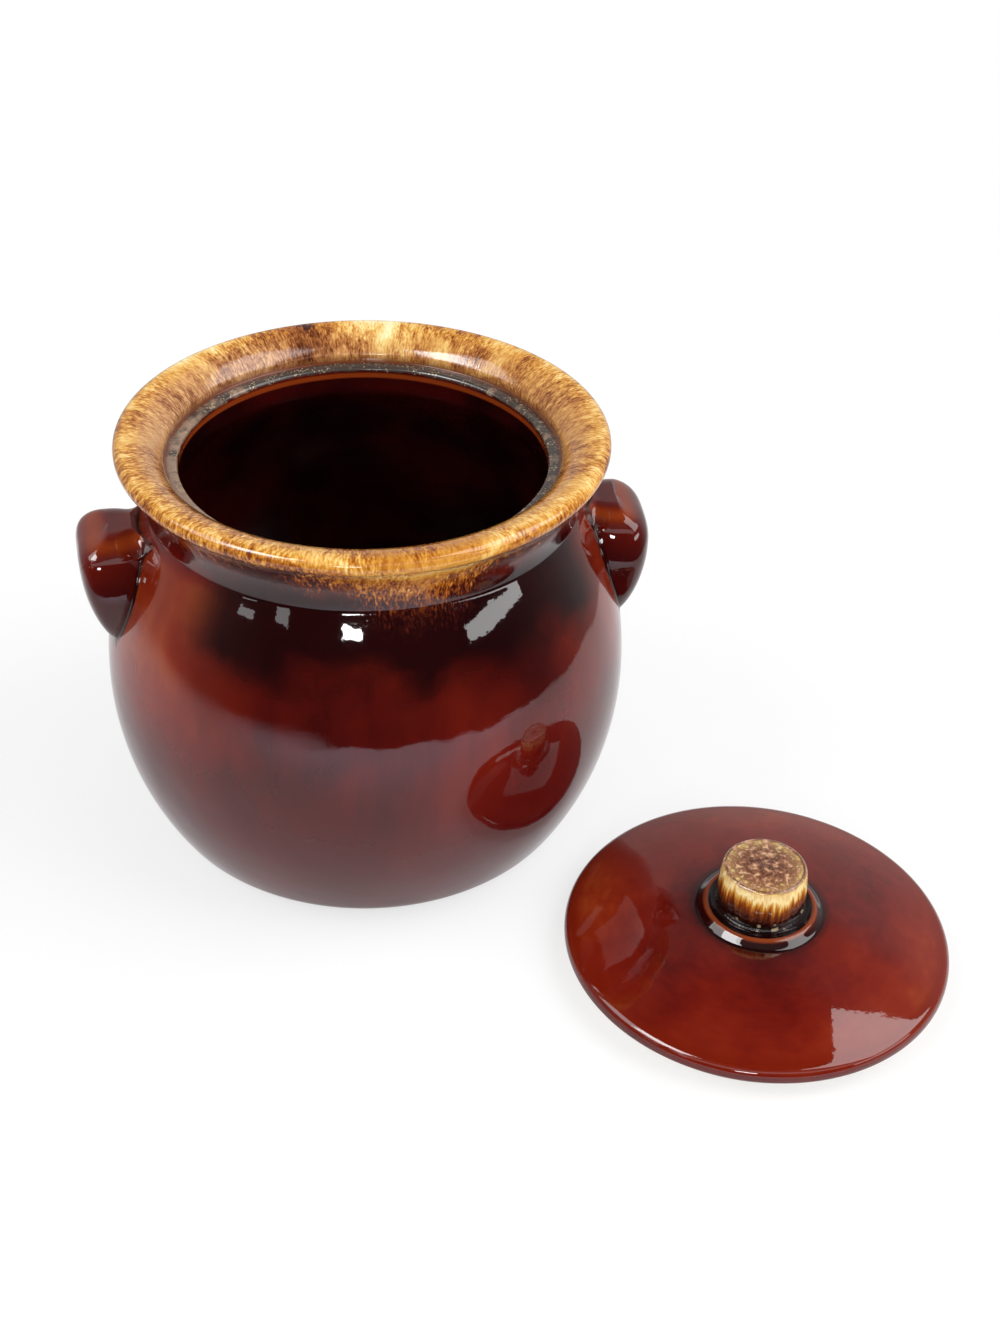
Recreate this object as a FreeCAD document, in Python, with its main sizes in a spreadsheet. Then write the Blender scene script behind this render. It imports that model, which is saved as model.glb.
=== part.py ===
import FreeCAD, Part
import math
import os
import re

import Sketcher
from FreeCAD import Placement, Rotation, Vector

# A stoneware bean pot with two lug handles, and its lift-off lid lying beside it on the table.
# Millimetres, +Z up. The origin is the centre of the pot's foot, on the table.
# The handles stand out on either side, near +X and -X, and the front is towards -Y.

PARTS_FOLDER = "parts"

# Every driving size. The spreadsheet holds these numbers, and every feature is bound to its cells.
SIZES = {
    # the pot's outside, from the foot up to the crease under the rim
    "pot_height": 146.5,
    "belly_radius": 88.3,
    "belly_height": 59.0,
    "lower_belly_arc": 106.0,
    "heel_round": 12.8,
    # the recess that the lid lies in, its ledge, and the mouth below it
    "seat_radius": 64.4,
    "recess_depth": 2.74,
    "ledge_width": 4.4,
    "lip_round": 1.2,
    "neck_length": 6.9,
    "neck_round": 5.0,
    "neck_wall": 10.9,
    # the flared rim above the crease
    "collar_height": 23.4,
    "rim_round": 3.0,
    "flare_width": 12.6,
    "flare_drop": 6.86,
    # the pot's inside
    "wall": 7.0,
    "floor_thickness": 8.0,
    "inner_heel_round": 14.0,
    # the lug handles
    "handle_overhang": 6.4,
    "handle_below_crease": 3.4,
    "handle_corner_round": 11.0,
    "handle_tuck": 18.6,
    "handle_length": 53.3,
    "handle_top_width": 25.0,
    "handle_width": 44.6,
    "handle_hip_drop": 27.5,
    "handle_hip_round": 8.0,
    "handle_hip_height": 15.9,
    "handle_edge_round": 5.4,
    "handle_root_depth": 20.6,
    "handle_forward": 3.7,
    # the lid's plate
    "lid_clearance": 1.4,
    "lid_wall": 6.0,
    "lid_edge_flat": 0.7,
    "lid_top_round": 3.5,
    "lid_under_round": 1.0,
    "dome_arc": 186.0,
    # the low round step on the plate that the knob stands on
    "step_radius": 18.8,
    "step_side": 0.6,
    "step_round": 1.5,
    # the ring under the plate that drops into the mouth
    "flange_clearance": 1.6,
    "flange_depth": 5.5,
    "flange_width": 6.0,
    "flange_round": 1.5,
    # the knob
    "knob_radius": 14.4,
    "knob_height": 16.2,
    "knob_belly_height": 7.5,
    "knob_side_arc": 30.0,
    "knob_top_round": 1.8,
    "knob_crown_arc": 90.0,
    # where the lid lies on the table, clear of the pot's belly
    "lid_gap": 5.0,
    "lid_bearing": 42.7,
}
FULL_TURN = 360.0
HAIR = 1e-6
# how far a shape that is cut back, and what cuts it, reach past the cut
SPARE = 5.0

# Sizes that follow from others, as formulas of the sheet's cells.
MOUTH_RADIUS = "(seat_radius - ledge_width)"
RIM_RADIUS = "(seat_radius + flare_width + rim_round)"
SEAT_HEIGHT = "(pot_height - flare_drop - recess_depth)"
NECK_FOOT_HEIGHT = f"({SEAT_HEIGHT} - lip_round - neck_length)"
CREASE_RADIUS = f"({MOUTH_RADIUS} + neck_wall)"
CREASE_HEIGHT = "(pot_height - collar_height)"
HANDLE_TOP = f"({CREASE_HEIGHT} - handle_below_crease)"
HANDLE_ROOT = f"({CREASE_RADIUS} - handle_root_depth)"
HANDLE_REACH = "(belly_radius + handle_overhang)"
HIP_ACROSS = "(handle_width / 2 - handle_hip_round)"
# the arc that touches both hips and is lowest at the hips' height below their centres
HANDLE_BASE_ARC = (f"((handle_hip_height^2 + {HIP_ACROSS}^2 - handle_hip_round^2)"
                   " / (2 * (handle_hip_height - handle_hip_round)))")
LID_RADIUS = "(seat_radius - lid_clearance)"
FLANGE_RADIUS = f"({MOUTH_RADIUS} - flange_clearance)"
TOP_ROUND_HEIGHT = "(flange_depth + lid_under_round + lid_edge_flat)"
DOME_CENTRE_HEIGHT = (f"({TOP_ROUND_HEIGHT} - sqrt((dome_arc - lid_top_round)^2"
                      f" - ({LID_RADIUS} - lid_top_round)^2))")
KNOB_SEAT_HEIGHT = (f"({DOME_CENTRE_HEIGHT} + sqrt(dome_arc^2 - step_radius^2)"
                    " + step_side + step_round)")
LID_DISTANCE = f"(belly_radius + lid_gap + {LID_RADIUS})"

doc = FreeCAD.newDocument("BeanPot")
sheet = doc.addObject("Spreadsheet::Sheet", "Sizes")
for row, (alias, number) in enumerate(SIZES.items(), start=1):
    sheet.set(f"A{row}", alias)
    sheet.set(f"B{row}", str(number))
    sheet.setAlias(f"B{row}", alias)
doc.recompute()


def cells(formula):
    """A formula with each size's name written as the sheet's cell of that name."""
    return re.sub(r"[a-z_]+", lambda word: f"Sizes.{word[0]}" if word[0] in SIZES else word[0], formula)


def size(formula):
    """The number that a formula of the sheet's cells comes to."""
    return float(sheet.evalExpression(cells(formula)))


class Sizes:
    """The sheet's numbers by name: sizes.wall is the number in the cell named wall."""

    def __getattr__(self, alias):
        return float(sheet.get(alias))


sizes = Sizes()


# ---------------------------------------------------------------- sketching


def point(across, up):
    return Vector(across, up, 0)


def veering_arc(offset, length):
    """The radius of an arc that sets out straight, and is off that line by an offset a length on."""
    return (offset ** 2 + length ** 2) / (2 * offset)


def inner_tangent(centre, arc, small_arc, up):
    """The centre, at the height up, of a small arc that touches a larger one from inside."""
    reach = arc - small_arc
    return point(centre.x + math.sqrt(reach ** 2 - (up - centre.y) ** 2), up)


def touch(centre, arc, other_centre):
    """The point of an arc that lies on the line from its centre through another centre."""
    return centre + (other_centre - centre).normalize() * arc


def line_onto(start, centre, arc):
    """Where a line from a point above touches the right side of a circle."""
    between = centre - start
    turn = math.asin(arc / between.Length)
    length = math.sqrt(between.Length ** 2 - arc ** 2)
    heading = math.atan2(between.y, between.x) + turn
    return start + point(math.cos(heading), math.sin(heading)) * length


def meet(first, first_arc, second, second_arc, side):
    """One of the two points where two circles cross: side 1 is left of first-to-second, -1 right."""
    between = second - first
    along = (between.Length ** 2 + first_arc ** 2 - second_arc ** 2) / (2 * between.Length)
    off = math.sqrt(first_arc ** 2 - along ** 2)
    between.normalize()
    return first + between * along + point(-between.y, between.x) * off * side


class Outline:
    """A closed outline in a sketch on an upright plane of a body: up is the height.

    On the XZ plane across is the radius, and on the YZ plane it is the distance to one side.

    Each edge starts where the last one ended. The drawn points are where the sizes put them, and
    the named constraints bind the same sizes to the sheet.
    """

    AXIS_START = (-1, 1)
    CENTRE = 3

    def __init__(self, body, name, role="XZ_Plane"):
        self.sketch = body.newObject("Sketcher::SketchObject", name)
        plane = next(item for item in body.Origin.OriginFeatures if item.Role == role)
        self.sketch.AttachmentSupport = [(plane, "")]
        self.sketch.MapMode = "FlatFace"
        self.edges = []

    def line(self, start, end, smooth=False, upright=None):
        edge = (self.sketch.addGeometry(Part.LineSegment(start, end), False), 1, 2)
        if upright is not None:
            self.rule("Vertical" if upright else "Horizontal", edge[0])
        return self.add(edge, smooth)

    def arc(self, centre, start, end, clockwise=False, smooth=False):
        first, last = (end, start) if clockwise else (start, end)
        angles = [math.atan2(tip.y - centre.y, tip.x - centre.x) for tip in (first, last)]
        circle = Part.Circle(centre, Vector(0, 0, 1), (start - centre).Length)
        number = self.sketch.addGeometry(Part.ArcOfCircle(circle, *angles), False)
        return self.add((number, 2, 1) if clockwise else (number, 1, 2), smooth)

    def add(self, edge, smooth):
        if self.edges:
            self.join(self.edges[-1], edge, smooth)
        self.edges.append(edge)
        return edge

    def join(self, edge, following, smooth=False):
        self.rule("Tangent" if smooth else "Coincident", edge[0], edge[2], following[0], following[1])

    def close(self):
        self.join(self.edges[-1], self.edges[0])

    def rule(self, kind, *references):
        return self.sketch.addConstraint(Sketcher.Constraint(kind, *references))

    def start_of(self, edge):
        return edge[0], edge[1]

    def end_of(self, edge):
        return edge[0], edge[2]

    def centre_of(self, edge):
        return edge[0], self.CENTRE

    def bind(self, number, name, formula):
        self.sketch.renameConstraint(number, name)
        self.sketch.setExpression(f"Constraints.{name}", cells(formula))

    def across(self, name, where, formula, start=AXIS_START):
        gap = self.sketch.getPoint(*where).x - self.sketch.getPoint(*start).x
        self.bind(self.rule("DistanceX", *start, *where, gap), name, formula)

    def up(self, name, where, formula, start=AXIS_START):
        rise = self.sketch.getPoint(*where).y - self.sketch.getPoint(*start).y
        self.bind(self.rule("DistanceY", *start, *where, rise), name, formula)

    def radius(self, name, edge, formula):
        number = self.rule("Radius", edge[0], self.sketch.Geometry[edge[0]].Radius)
        self.bind(number, name, formula)

    def pass_through(self, across_name, up_name, edge, where, across_formula, up_formula):
        """Makes an edge pass through a place that is none of its ends."""
        mark = (self.sketch.addGeometry(Part.Point(where), True), 1)
        self.rule("PointOnObject", *mark, edge[0])
        self.across(across_name, mark, across_formula)
        self.up(up_name, mark, up_formula)

    def on_axis(self, where):
        self.rule("PointOnObject", *where, -2)

    def on_table(self, where):
        self.rule("PointOnObject", *where, -1)


def new_body(name):
    body = doc.addObject("PartDesign::Body", name)
    body.Label = name
    return body


def revolve(body, outline, kind="PartDesign::Revolution"):
    """A solid of revolution about Z, or with PartDesign::Groove the same shape cut away."""
    feature = body.newObject(kind, f"{outline.sketch.Name}_turned")
    feature.Profile = outline.sketch
    feature.ReferenceAxis = (outline.sketch, ["V_Axis"])
    feature.Angle = FULL_TURN
    return feature


# ---------------------------------------------------------------- the pot


def lower_centre():
    """The centre of the lower belly's arc, inside and out, level with the widest place."""
    return point(sizes.belly_radius - sizes.lower_belly_arc, sizes.belly_height)


def outer_wall(outline):
    """The foot, the heel and the belly, up to the crease under the rim."""
    belly = point(sizes.belly_radius, sizes.belly_height)
    heel_centre = inner_tangent(lower_centre(), sizes.lower_belly_arc, sizes.heel_round, sizes.heel_round)
    heel_foot = point(heel_centre.x, 0)
    heel_top = touch(lower_centre(), sizes.lower_belly_arc, heel_centre)
    crease = point(size(CREASE_RADIUS), size(CREASE_HEIGHT))
    shoulder_arc = veering_arc(belly.x - crease.x, crease.y - belly.y)
    shoulder_centre = point(belly.x - shoulder_arc, belly.y)

    foot = outline.line(point(0, 0), heel_foot, upright=False)
    heel = outline.arc(heel_centre, heel_foot, heel_top, smooth=True)
    lower = outline.arc(lower_centre(), heel_top, belly, smooth=True)
    shoulder = outline.arc(shoulder_centre, belly, crease, smooth=True)

    outline.rule("Coincident", *outline.start_of(foot), *outline.AXIS_START)
    outline.radius("heel_round", heel, "heel_round")
    outline.radius("lower_belly_arc", lower, "lower_belly_arc")
    outline.across("belly_radius", outline.end_of(lower), "belly_radius")
    outline.up("belly_height", outline.end_of(lower), "belly_height")
    outline.rule("Horizontal", *outline.end_of(lower), *outline.centre_of(lower))
    outline.across("crease_radius", outline.end_of(shoulder), CREASE_RADIUS)
    outline.up("crease_height", outline.end_of(shoulder), CREASE_HEIGHT)
    return lower, crease


def rim(outline, crease):
    """The collar, upright at the crease, the rounded edge and the flare down to the lid's ledge."""
    rim_centre = point(size(RIM_RADIUS) - sizes.rim_round, sizes.pot_height - sizes.rim_round)
    # moved out by the edge's round, the collar's arc would run through that round's centre
    collar_arc = (veering_arc(rim_centre.x + sizes.rim_round - crease.x, rim_centre.y - crease.y)
                  - sizes.rim_round)
    collar_centre = crease + point(collar_arc, 0)
    collar_top = touch(rim_centre, sizes.rim_round, collar_centre)
    crest = point(rim_centre.x, sizes.pot_height)
    flare_centre = point(crest.x, crest.y - veering_arc(sizes.flare_drop, sizes.flare_width))
    flare_foot = point(sizes.seat_radius, crest.y - sizes.flare_drop)
    seat_height = size(SEAT_HEIGHT)
    mouth_radius = size(MOUTH_RADIUS)
    lip_centre = point(mouth_radius + sizes.lip_round, seat_height - sizes.lip_round)

    collar = outline.arc(collar_centre, crease, collar_top, clockwise=True)
    edge = outline.arc(rim_centre, collar_top, crest, smooth=True)
    flare = outline.arc(flare_centre, crest, flare_foot, smooth=True)
    recess = outline.line(flare_foot, point(sizes.seat_radius, seat_height), upright=True)
    ledge = outline.line(point(sizes.seat_radius, seat_height), point(lip_centre.x, seat_height),
                         upright=False)
    lip = outline.arc(lip_centre, point(lip_centre.x, seat_height),
                      point(mouth_radius, lip_centre.y), smooth=True)

    outline.rule("Horizontal", *outline.start_of(collar), *outline.centre_of(collar))
    outline.radius("rim_round", edge, "rim_round")
    outline.across("rim_centre", outline.centre_of(edge), f"{RIM_RADIUS} - rim_round")
    outline.up("crest", outline.end_of(edge), "pot_height")
    outline.rule("Vertical", *outline.end_of(edge), *outline.centre_of(edge))
    outline.across("seat_radius", outline.end_of(flare), "seat_radius")
    outline.up("flare_foot", outline.end_of(flare), "pot_height - flare_drop")
    outline.up("seat_height", outline.end_of(recess), SEAT_HEIGHT)
    outline.radius("lip_round", lip, "lip_round")
    return lip


def inner_wall(outline, lip, lower):
    """The short straight neck, the hollow belly and the floor."""
    mouth_radius = size(MOUTH_RADIUS)
    lip_foot = point(mouth_radius, size(SEAT_HEIGHT) - sizes.lip_round)
    neck_end = point(mouth_radius, size(NECK_FOOT_HEIGHT))
    neck_centre = neck_end + point(sizes.neck_round, 0)
    inner_belly = point(sizes.belly_radius - sizes.wall, sizes.belly_height)
    # moved out by the neck's round, the hollow shoulder's arc would run through that round's centre
    inner_shoulder = (veering_arc(inner_belly.x - mouth_radius, neck_end.y - inner_belly.y)
                      - sizes.neck_round)
    shoulder_centre = inner_belly - point(inner_shoulder, 0)
    neck_foot = touch(shoulder_centre, inner_shoulder, neck_centre)
    inner_lower = sizes.lower_belly_arc - sizes.wall
    heel_centre = inner_tangent(lower_centre(), inner_lower, sizes.inner_heel_round,
                                sizes.floor_thickness + sizes.inner_heel_round)
    heel_top = touch(lower_centre(), inner_lower, heel_centre)
    heel_foot = point(heel_centre.x, sizes.floor_thickness)

    neck = outline.line(lip_foot, neck_end, smooth=True, upright=True)
    neck_round = outline.arc(neck_centre, neck_end, neck_foot, smooth=True)
    hollow_shoulder = outline.arc(shoulder_centre, neck_foot, inner_belly, clockwise=True, smooth=True)
    hollow_lower = outline.arc(lower_centre(), inner_belly, heel_top, clockwise=True)
    inner_heel = outline.arc(heel_centre, heel_top, heel_foot, clockwise=True, smooth=True)
    floor = outline.line(heel_foot, point(0, sizes.floor_thickness), smooth=True, upright=False)
    axis = outline.line(point(0, sizes.floor_thickness), point(0, 0), upright=True)
    outline.close()

    outline.across("mouth_radius", outline.end_of(lip), MOUTH_RADIUS)
    outline.up("neck_foot", outline.end_of(neck), NECK_FOOT_HEIGHT)
    outline.radius("neck_round", neck_round, "neck_round")
    outline.rule("Coincident", *outline.centre_of(hollow_lower), *outline.centre_of(lower))
    outline.rule("Horizontal", *outline.end_of(hollow_shoulder), *outline.centre_of(hollow_shoulder))
    outline.rule("Horizontal", *outline.end_of(hollow_shoulder), *outline.centre_of(hollow_lower))
    outline.across("inner_belly", outline.end_of(hollow_shoulder), "belly_radius - wall")
    outline.radius("inner_heel_round", inner_heel, "inner_heel_round")
    outline.up("floor_thickness", outline.end_of(inner_heel), "floor_thickness")


def pot_body():
    body = new_body("pot_body")
    outline = Outline(body, "pot_section")
    lower, crease = outer_wall(outline)
    lip = rim(outline, crease)
    inner_wall(outline, lip, lower)
    revolve(body, outline)
    return body


# ---------------------------------------------------------------- the lug handles


def handle_front(body):
    """The lug from its end: narrow at the top, sloping out to round hips, with a round base.

    It is drawn a little higher than the lug's flat top, which is cut afterwards.
    """
    hip_round = sizes.handle_hip_round
    top = size(HANDLE_TOP)
    top_corner = point(sizes.handle_top_width / 2, top)
    hip_centre = point(size(HIP_ACROSS), top - sizes.handle_hip_drop)
    side_foot = line_onto(top_corner, hip_centre, hip_round)
    slope = (side_foot.x - top_corner.x) / (top_corner.y - side_foot.y)
    side_top = point(top_corner.x - slope * SPARE, top + SPARE)
    base_arc = size(HANDLE_BASE_ARC)
    base_centre = point(0, hip_centre.y - sizes.handle_hip_height + base_arc)
    base_end = touch(base_centre, base_arc, hip_centre)

    def other(where):
        return point(-where.x, where.y)

    outline = Outline(body, f"{body.Name}_front", "YZ_Plane")
    outline.sketch.setExpression("AttachmentOffset.Base.z", cells(HANDLE_ROOT))
    top_line = outline.line(other(side_top), side_top)
    side = outline.line(side_top, side_foot)
    hip = outline.arc(hip_centre, side_foot, base_end, clockwise=True, smooth=True)
    base = outline.arc(base_centre, base_end, other(base_end), clockwise=True, smooth=True)
    other_hip = outline.arc(other(hip_centre), other(base_end), other(side_foot), clockwise=True,
                            smooth=True)
    outline.line(other(side_foot), other(side_top), smooth=True)
    outline.close()

    outline.rule("Symmetric", *outline.start_of(top_line), *outline.end_of(top_line), -2)
    outline.up("drawn_top", outline.start_of(top_line), f"{HANDLE_TOP} + {SPARE}")
    outline.pass_through("top_width", "top", side, top_corner, "handle_top_width / 2", HANDLE_TOP)
    outline.radius("hip_round", hip, "handle_hip_round")
    outline.radius("other_hip_round", other_hip, "handle_hip_round")
    outline.across("hip_centre", outline.centre_of(hip), HIP_ACROSS)
    outline.up("hip_height", outline.centre_of(hip), f"{HANDLE_TOP} - handle_hip_drop")
    outline.rule("Symmetric", *outline.centre_of(other_hip), *outline.centre_of(hip), -2)
    outline.radius("base_arc", base, HANDLE_BASE_ARC)
    return outline


def handle_side(body):
    """What is cut off, seen from the side, to leave a flat top, a round corner and a long curve."""
    root = size(HANDLE_ROOT) - SPARE
    reach = size(HANDLE_REACH)
    top = size(HANDLE_TOP)
    corner_centre = point(reach - sizes.handle_corner_round, top - sizes.handle_corner_round)
    tip = point(reach, corner_centre.y)
    foot = point(reach - sizes.handle_tuck, top - sizes.handle_length)
    drop_centre = point(reach - veering_arc(sizes.handle_tuck, tip.y - foot.y), tip.y)
    outside = point(reach + SPARE, top + 2 * SPARE)

    outline = Outline(body, f"{body.Name}_side")
    top_line = outline.line(point(root, top), point(corner_centre.x, top), upright=False)
    corner = outline.arc(corner_centre, point(corner_centre.x, top), tip, clockwise=True, smooth=True)
    drop = outline.arc(drop_centre, tip, foot, clockwise=True, smooth=True)
    outline.line(foot, point(outside.x, foot.y), upright=False)
    outline.line(point(outside.x, foot.y), outside, upright=True)
    over = outline.line(outside, point(root, outside.y), upright=False)
    outline.line(point(root, outside.y), point(root, top), upright=True)
    outline.close()

    outline.across("root", outline.start_of(top_line), f"{HANDLE_ROOT} - {SPARE}")
    outline.up("top", outline.start_of(top_line), HANDLE_TOP)
    outline.radius("corner_round", corner, "handle_corner_round")
    outline.across("reach", outline.end_of(corner), HANDLE_REACH)
    outline.rule("Horizontal", *outline.end_of(corner), *outline.centre_of(corner))
    outline.across("foot", outline.end_of(drop), f"{HANDLE_REACH} - handle_tuck")
    outline.up("foot_height", outline.end_of(drop), f"{HANDLE_TOP} - handle_length")
    outline.across("outside", outline.start_of(over), f"{HANDLE_REACH} + {SPARE}")
    outline.up("over", outline.start_of(over), f"{HANDLE_TOP} + {2 * SPARE}")
    return outline


def handle_edges(lug):
    """The names of the edges all round the lug's outer face, from one end of its flat top to the other."""
    names = []
    for number, edge in enumerate(lug.Shape.Edges, start=1):
        box = edge.BoundBox
        at_the_root = box.XMax < size(HANDLE_ROOT) + HAIR
        straight_across = box.XLength < HAIR and box.ZLength < HAIR
        seam_of_a_side = box.YLength < HAIR and box.ZLength < HAIR and box.ZMax < size(HANDLE_TOP) - HAIR
        if not (at_the_root or straight_across or seam_of_a_side):
            names.append(f"Edge{number}")
    return names


def handle(name, bearing):
    """A solid lug, cut to the curve of the pot's outside. Bearing is the formula of its turn about Z."""
    body = new_body(name)
    block = body.newObject("PartDesign::Pad", f"{name}_block")
    block.Profile = handle_front(body).sketch
    block.setExpression("Length", cells(f"{HANDLE_REACH} - {HANDLE_ROOT} + {SPARE}"))
    lug = body.newObject("PartDesign::Pocket", f"{name}_lug")
    lug.Profile = handle_side(body).sketch
    lug.SideType = "Symmetric"
    lug.setExpression("Length", cells(f"handle_width + {2 * SPARE}"))
    doc.recompute()
    rounded = body.newObject("PartDesign::Fillet", f"{name}_rounded")
    rounded.Base = (lug, handle_edges(lug))
    rounded.setExpression("Radius", cells("handle_edge_round"))
    doc.recompute()
    core = Outline(body, f"{name}_core")
    crease = outer_wall(core)[-1]
    core.line(crease, point(0, crease.y), upright=False)
    core.line(point(0, crease.y), point(0, 0), upright=True)
    core.close()
    revolve(body, core, "PartDesign::Groove")
    body.Placement = Placement(Vector(0, 0, 0), Rotation(Vector(0, 0, 1), 0))
    body.setExpression("Placement.Rotation.Angle", cells(f"({bearing}) * 1 deg"))
    return body


# ---------------------------------------------------------------- the lid


def lay_beside_the_pot(body, height):
    """Puts one of the lid's bodies where the lid lies, with its own zero at a height's formula."""
    body.setExpression("Placement.Base.x", cells(f"{LID_DISTANCE} * cos(lid_bearing * 1 deg)"))
    body.setExpression("Placement.Base.y", cells(f"-{LID_DISTANCE} * sin(lid_bearing * 1 deg)"))
    body.setExpression("Placement.Base.z", cells(height))


def lid_plate():
    """The domed plate with its rounded edge, the step for the knob and the locating ring below."""
    lid_radius = size(LID_RADIUS)
    flange_radius = size(FLANGE_RADIUS)
    ring_inside = flange_radius - sizes.flange_width
    seat = sizes.flange_depth
    under_centre = point(lid_radius - sizes.lid_under_round, seat + sizes.lid_under_round)
    top_centre = point(lid_radius - sizes.lid_top_round, under_centre.y + sizes.lid_edge_flat)
    dome_drop = math.sqrt((sizes.dome_arc - sizes.lid_top_round) ** 2 - top_centre.x ** 2)
    dome_centre = point(0, top_centre.y - dome_drop)
    dome_edge = touch(dome_centre, sizes.dome_arc, top_centre)
    step_foot = point(sizes.step_radius,
                      dome_centre.y + math.sqrt(sizes.dome_arc ** 2 - sizes.step_radius ** 2))
    step_top = step_foot.y + sizes.step_side + sizes.step_round
    step_centre = point(sizes.step_radius - sizes.step_round, step_top - sizes.step_round)
    under_arc = sizes.dome_arc - sizes.lid_wall
    ring_top = point(ring_inside, dome_centre.y + math.sqrt(under_arc ** 2 - ring_inside ** 2))
    outer_foot = point(flange_radius - sizes.flange_round, sizes.flange_round)
    inner_foot = point(ring_inside + sizes.flange_round, sizes.flange_round)
    under_apex = point(0, dome_centre.y + under_arc)

    body = new_body("lid_plate")
    outline = Outline(body, "lid_section")
    axis = outline.line(under_apex, point(0, step_top), upright=True)
    outline.line(point(0, step_top), point(step_centre.x, step_top), upright=False)
    step_edge = outline.arc(step_centre, point(step_centre.x, step_top),
                            point(step_foot.x, step_centre.y), clockwise=True, smooth=True)
    step_side = outline.line(point(step_foot.x, step_centre.y), step_foot, smooth=True, upright=True)
    dome = outline.arc(dome_centre, step_foot, dome_edge, clockwise=True)
    top_round = outline.arc(top_centre, dome_edge, point(lid_radius, top_centre.y), clockwise=True,
                            smooth=True)
    edge = outline.line(point(lid_radius, top_centre.y), point(lid_radius, under_centre.y),
                        smooth=True, upright=True)
    under_round = outline.arc(under_centre, point(lid_radius, under_centre.y),
                              point(under_centre.x, seat), clockwise=True, smooth=True)
    outline.line(point(under_centre.x, seat), point(flange_radius, seat), smooth=True, upright=False)
    ring_outside = outline.line(point(flange_radius, seat), point(flange_radius, outer_foot.y),
                                upright=True)
    outer_round = outline.arc(outer_foot, point(flange_radius, outer_foot.y), point(outer_foot.x, 0),
                              clockwise=True, smooth=True)
    outline.line(point(outer_foot.x, 0), point(inner_foot.x, 0), smooth=True, upright=False)
    inner_round = outline.arc(inner_foot, point(inner_foot.x, 0), point(ring_inside, inner_foot.y),
                              clockwise=True, smooth=True)
    outline.line(point(ring_inside, inner_foot.y), ring_top, smooth=True, upright=True)
    under_dome = outline.arc(dome_centre, ring_top, under_apex)
    outline.close()

    outline.on_axis(outline.start_of(axis))
    outline.radius("step_round", step_edge, "step_round")
    outline.across("step_radius", outline.end_of(step_side), "step_radius")
    outline.up("step_rise", outline.start_of(step_edge), "step_side + step_round",
               start=outline.end_of(step_side))
    outline.radius("dome_arc", dome, "dome_arc")
    outline.on_axis(outline.centre_of(dome))
    outline.radius("lid_top_round", top_round, "lid_top_round")
    outline.across("lid_radius", outline.start_of(edge), LID_RADIUS)
    outline.up("lid_edge_flat", outline.start_of(edge), "lid_edge_flat", start=outline.end_of(edge))
    outline.radius("lid_under_round", under_round, "lid_under_round")
    outline.up("seat", outline.end_of(under_round), "flange_depth")
    outline.across("flange_radius", outline.start_of(ring_outside), FLANGE_RADIUS)
    outline.radius("outer_flange_round", outer_round, "flange_round")
    outline.radius("inner_flange_round", inner_round, "flange_round")
    outline.on_table(outline.end_of(outer_round))
    outline.across("ring_inside", outline.end_of(inner_round), f"{FLANGE_RADIUS} - flange_width")
    outline.rule("Coincident", *outline.centre_of(under_dome), *outline.centre_of(dome))
    outline.radius("under_dome_arc", under_dome, "dome_arc - lid_wall")

    revolve(body, outline)
    lay_beside_the_pot(body, "0")
    return body


def lid_knob():
    """The barrel-shaped knob, luted to the step on the plate."""
    side_centre = point(sizes.knob_radius - sizes.knob_side_arc, sizes.knob_belly_height)
    crown_centre = point(0, sizes.knob_height - sizes.knob_crown_arc)
    foot_reach = math.sqrt(sizes.knob_side_arc ** 2 - side_centre.y ** 2)
    foot_edge = point(side_centre.x + foot_reach, 0)
    round_centre = meet(side_centre, sizes.knob_side_arc - sizes.knob_top_round,
                        crown_centre, sizes.knob_crown_arc - sizes.knob_top_round, 1)
    side_top = touch(side_centre, sizes.knob_side_arc, round_centre)
    crown_edge = touch(crown_centre, sizes.knob_crown_arc, round_centre)
    apex = point(0, sizes.knob_height)

    body = new_body("lid_knob")
    outline = Outline(body, "knob_section")
    foot = outline.line(point(0, 0), foot_edge, upright=False)
    side = outline.arc(side_centre, foot_edge, side_top)
    top_round = outline.arc(round_centre, side_top, crown_edge, smooth=True)
    crown = outline.arc(crown_centre, crown_edge, apex, smooth=True)
    outline.line(apex, point(0, 0), upright=True)
    outline.close()

    outline.rule("Coincident", *outline.start_of(foot), *outline.AXIS_START)
    outline.radius("side_arc", side, "knob_side_arc")
    outline.across("side_centre", outline.centre_of(side), "knob_radius - knob_side_arc")
    outline.up("belly_height", outline.centre_of(side), "knob_belly_height")
    outline.radius("top_round", top_round, "knob_top_round")
    outline.radius("crown_arc", crown, "knob_crown_arc")
    outline.on_axis(outline.centre_of(crown))
    outline.up("height", outline.end_of(crown), "knob_height")

    revolve(body, outline)
    lay_beside_the_pot(body, KNOB_SEAT_HEIGHT)
    return body


# ---------------------------------------------------------------- building, checking and writing

bodies = [
    pot_body(),
    handle("left_handle", "180 + handle_forward"),
    handle("right_handle", "-handle_forward"),
    lid_plate(),
    lid_knob(),
]
doc.recompute()

for item in doc.Objects:
    faults = [state for state in item.State if state in ("Invalid", "Error")]
    if faults:
        raise RuntimeError(f"{item.Label}: {', '.join(faults)}")
for body in bodies:
    if body.Shape.isNull() or not body.Shape.isValid() or len(body.Shape.Solids) != 1:
        raise RuntimeError(f"{body.Label} is not one valid solid")

os.makedirs(PARTS_FOLDER, exist_ok=True)
for body in bodies:
    body.Shape.exportStep(os.path.join(PARTS_FOLDER, f"{body.Label}.step"))
    print(f"{body.Label}: {body.Shape.Volume / 1000:.1f} cm3, {len(body.Shape.Faces)} faces")
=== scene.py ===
"""Stoneware bean pot with drip glaze on its rim and its lid lying beside it: the looks, in metres."""

import math

import bpy
import numpy as np
from mathutils import Matrix, Vector


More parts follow.
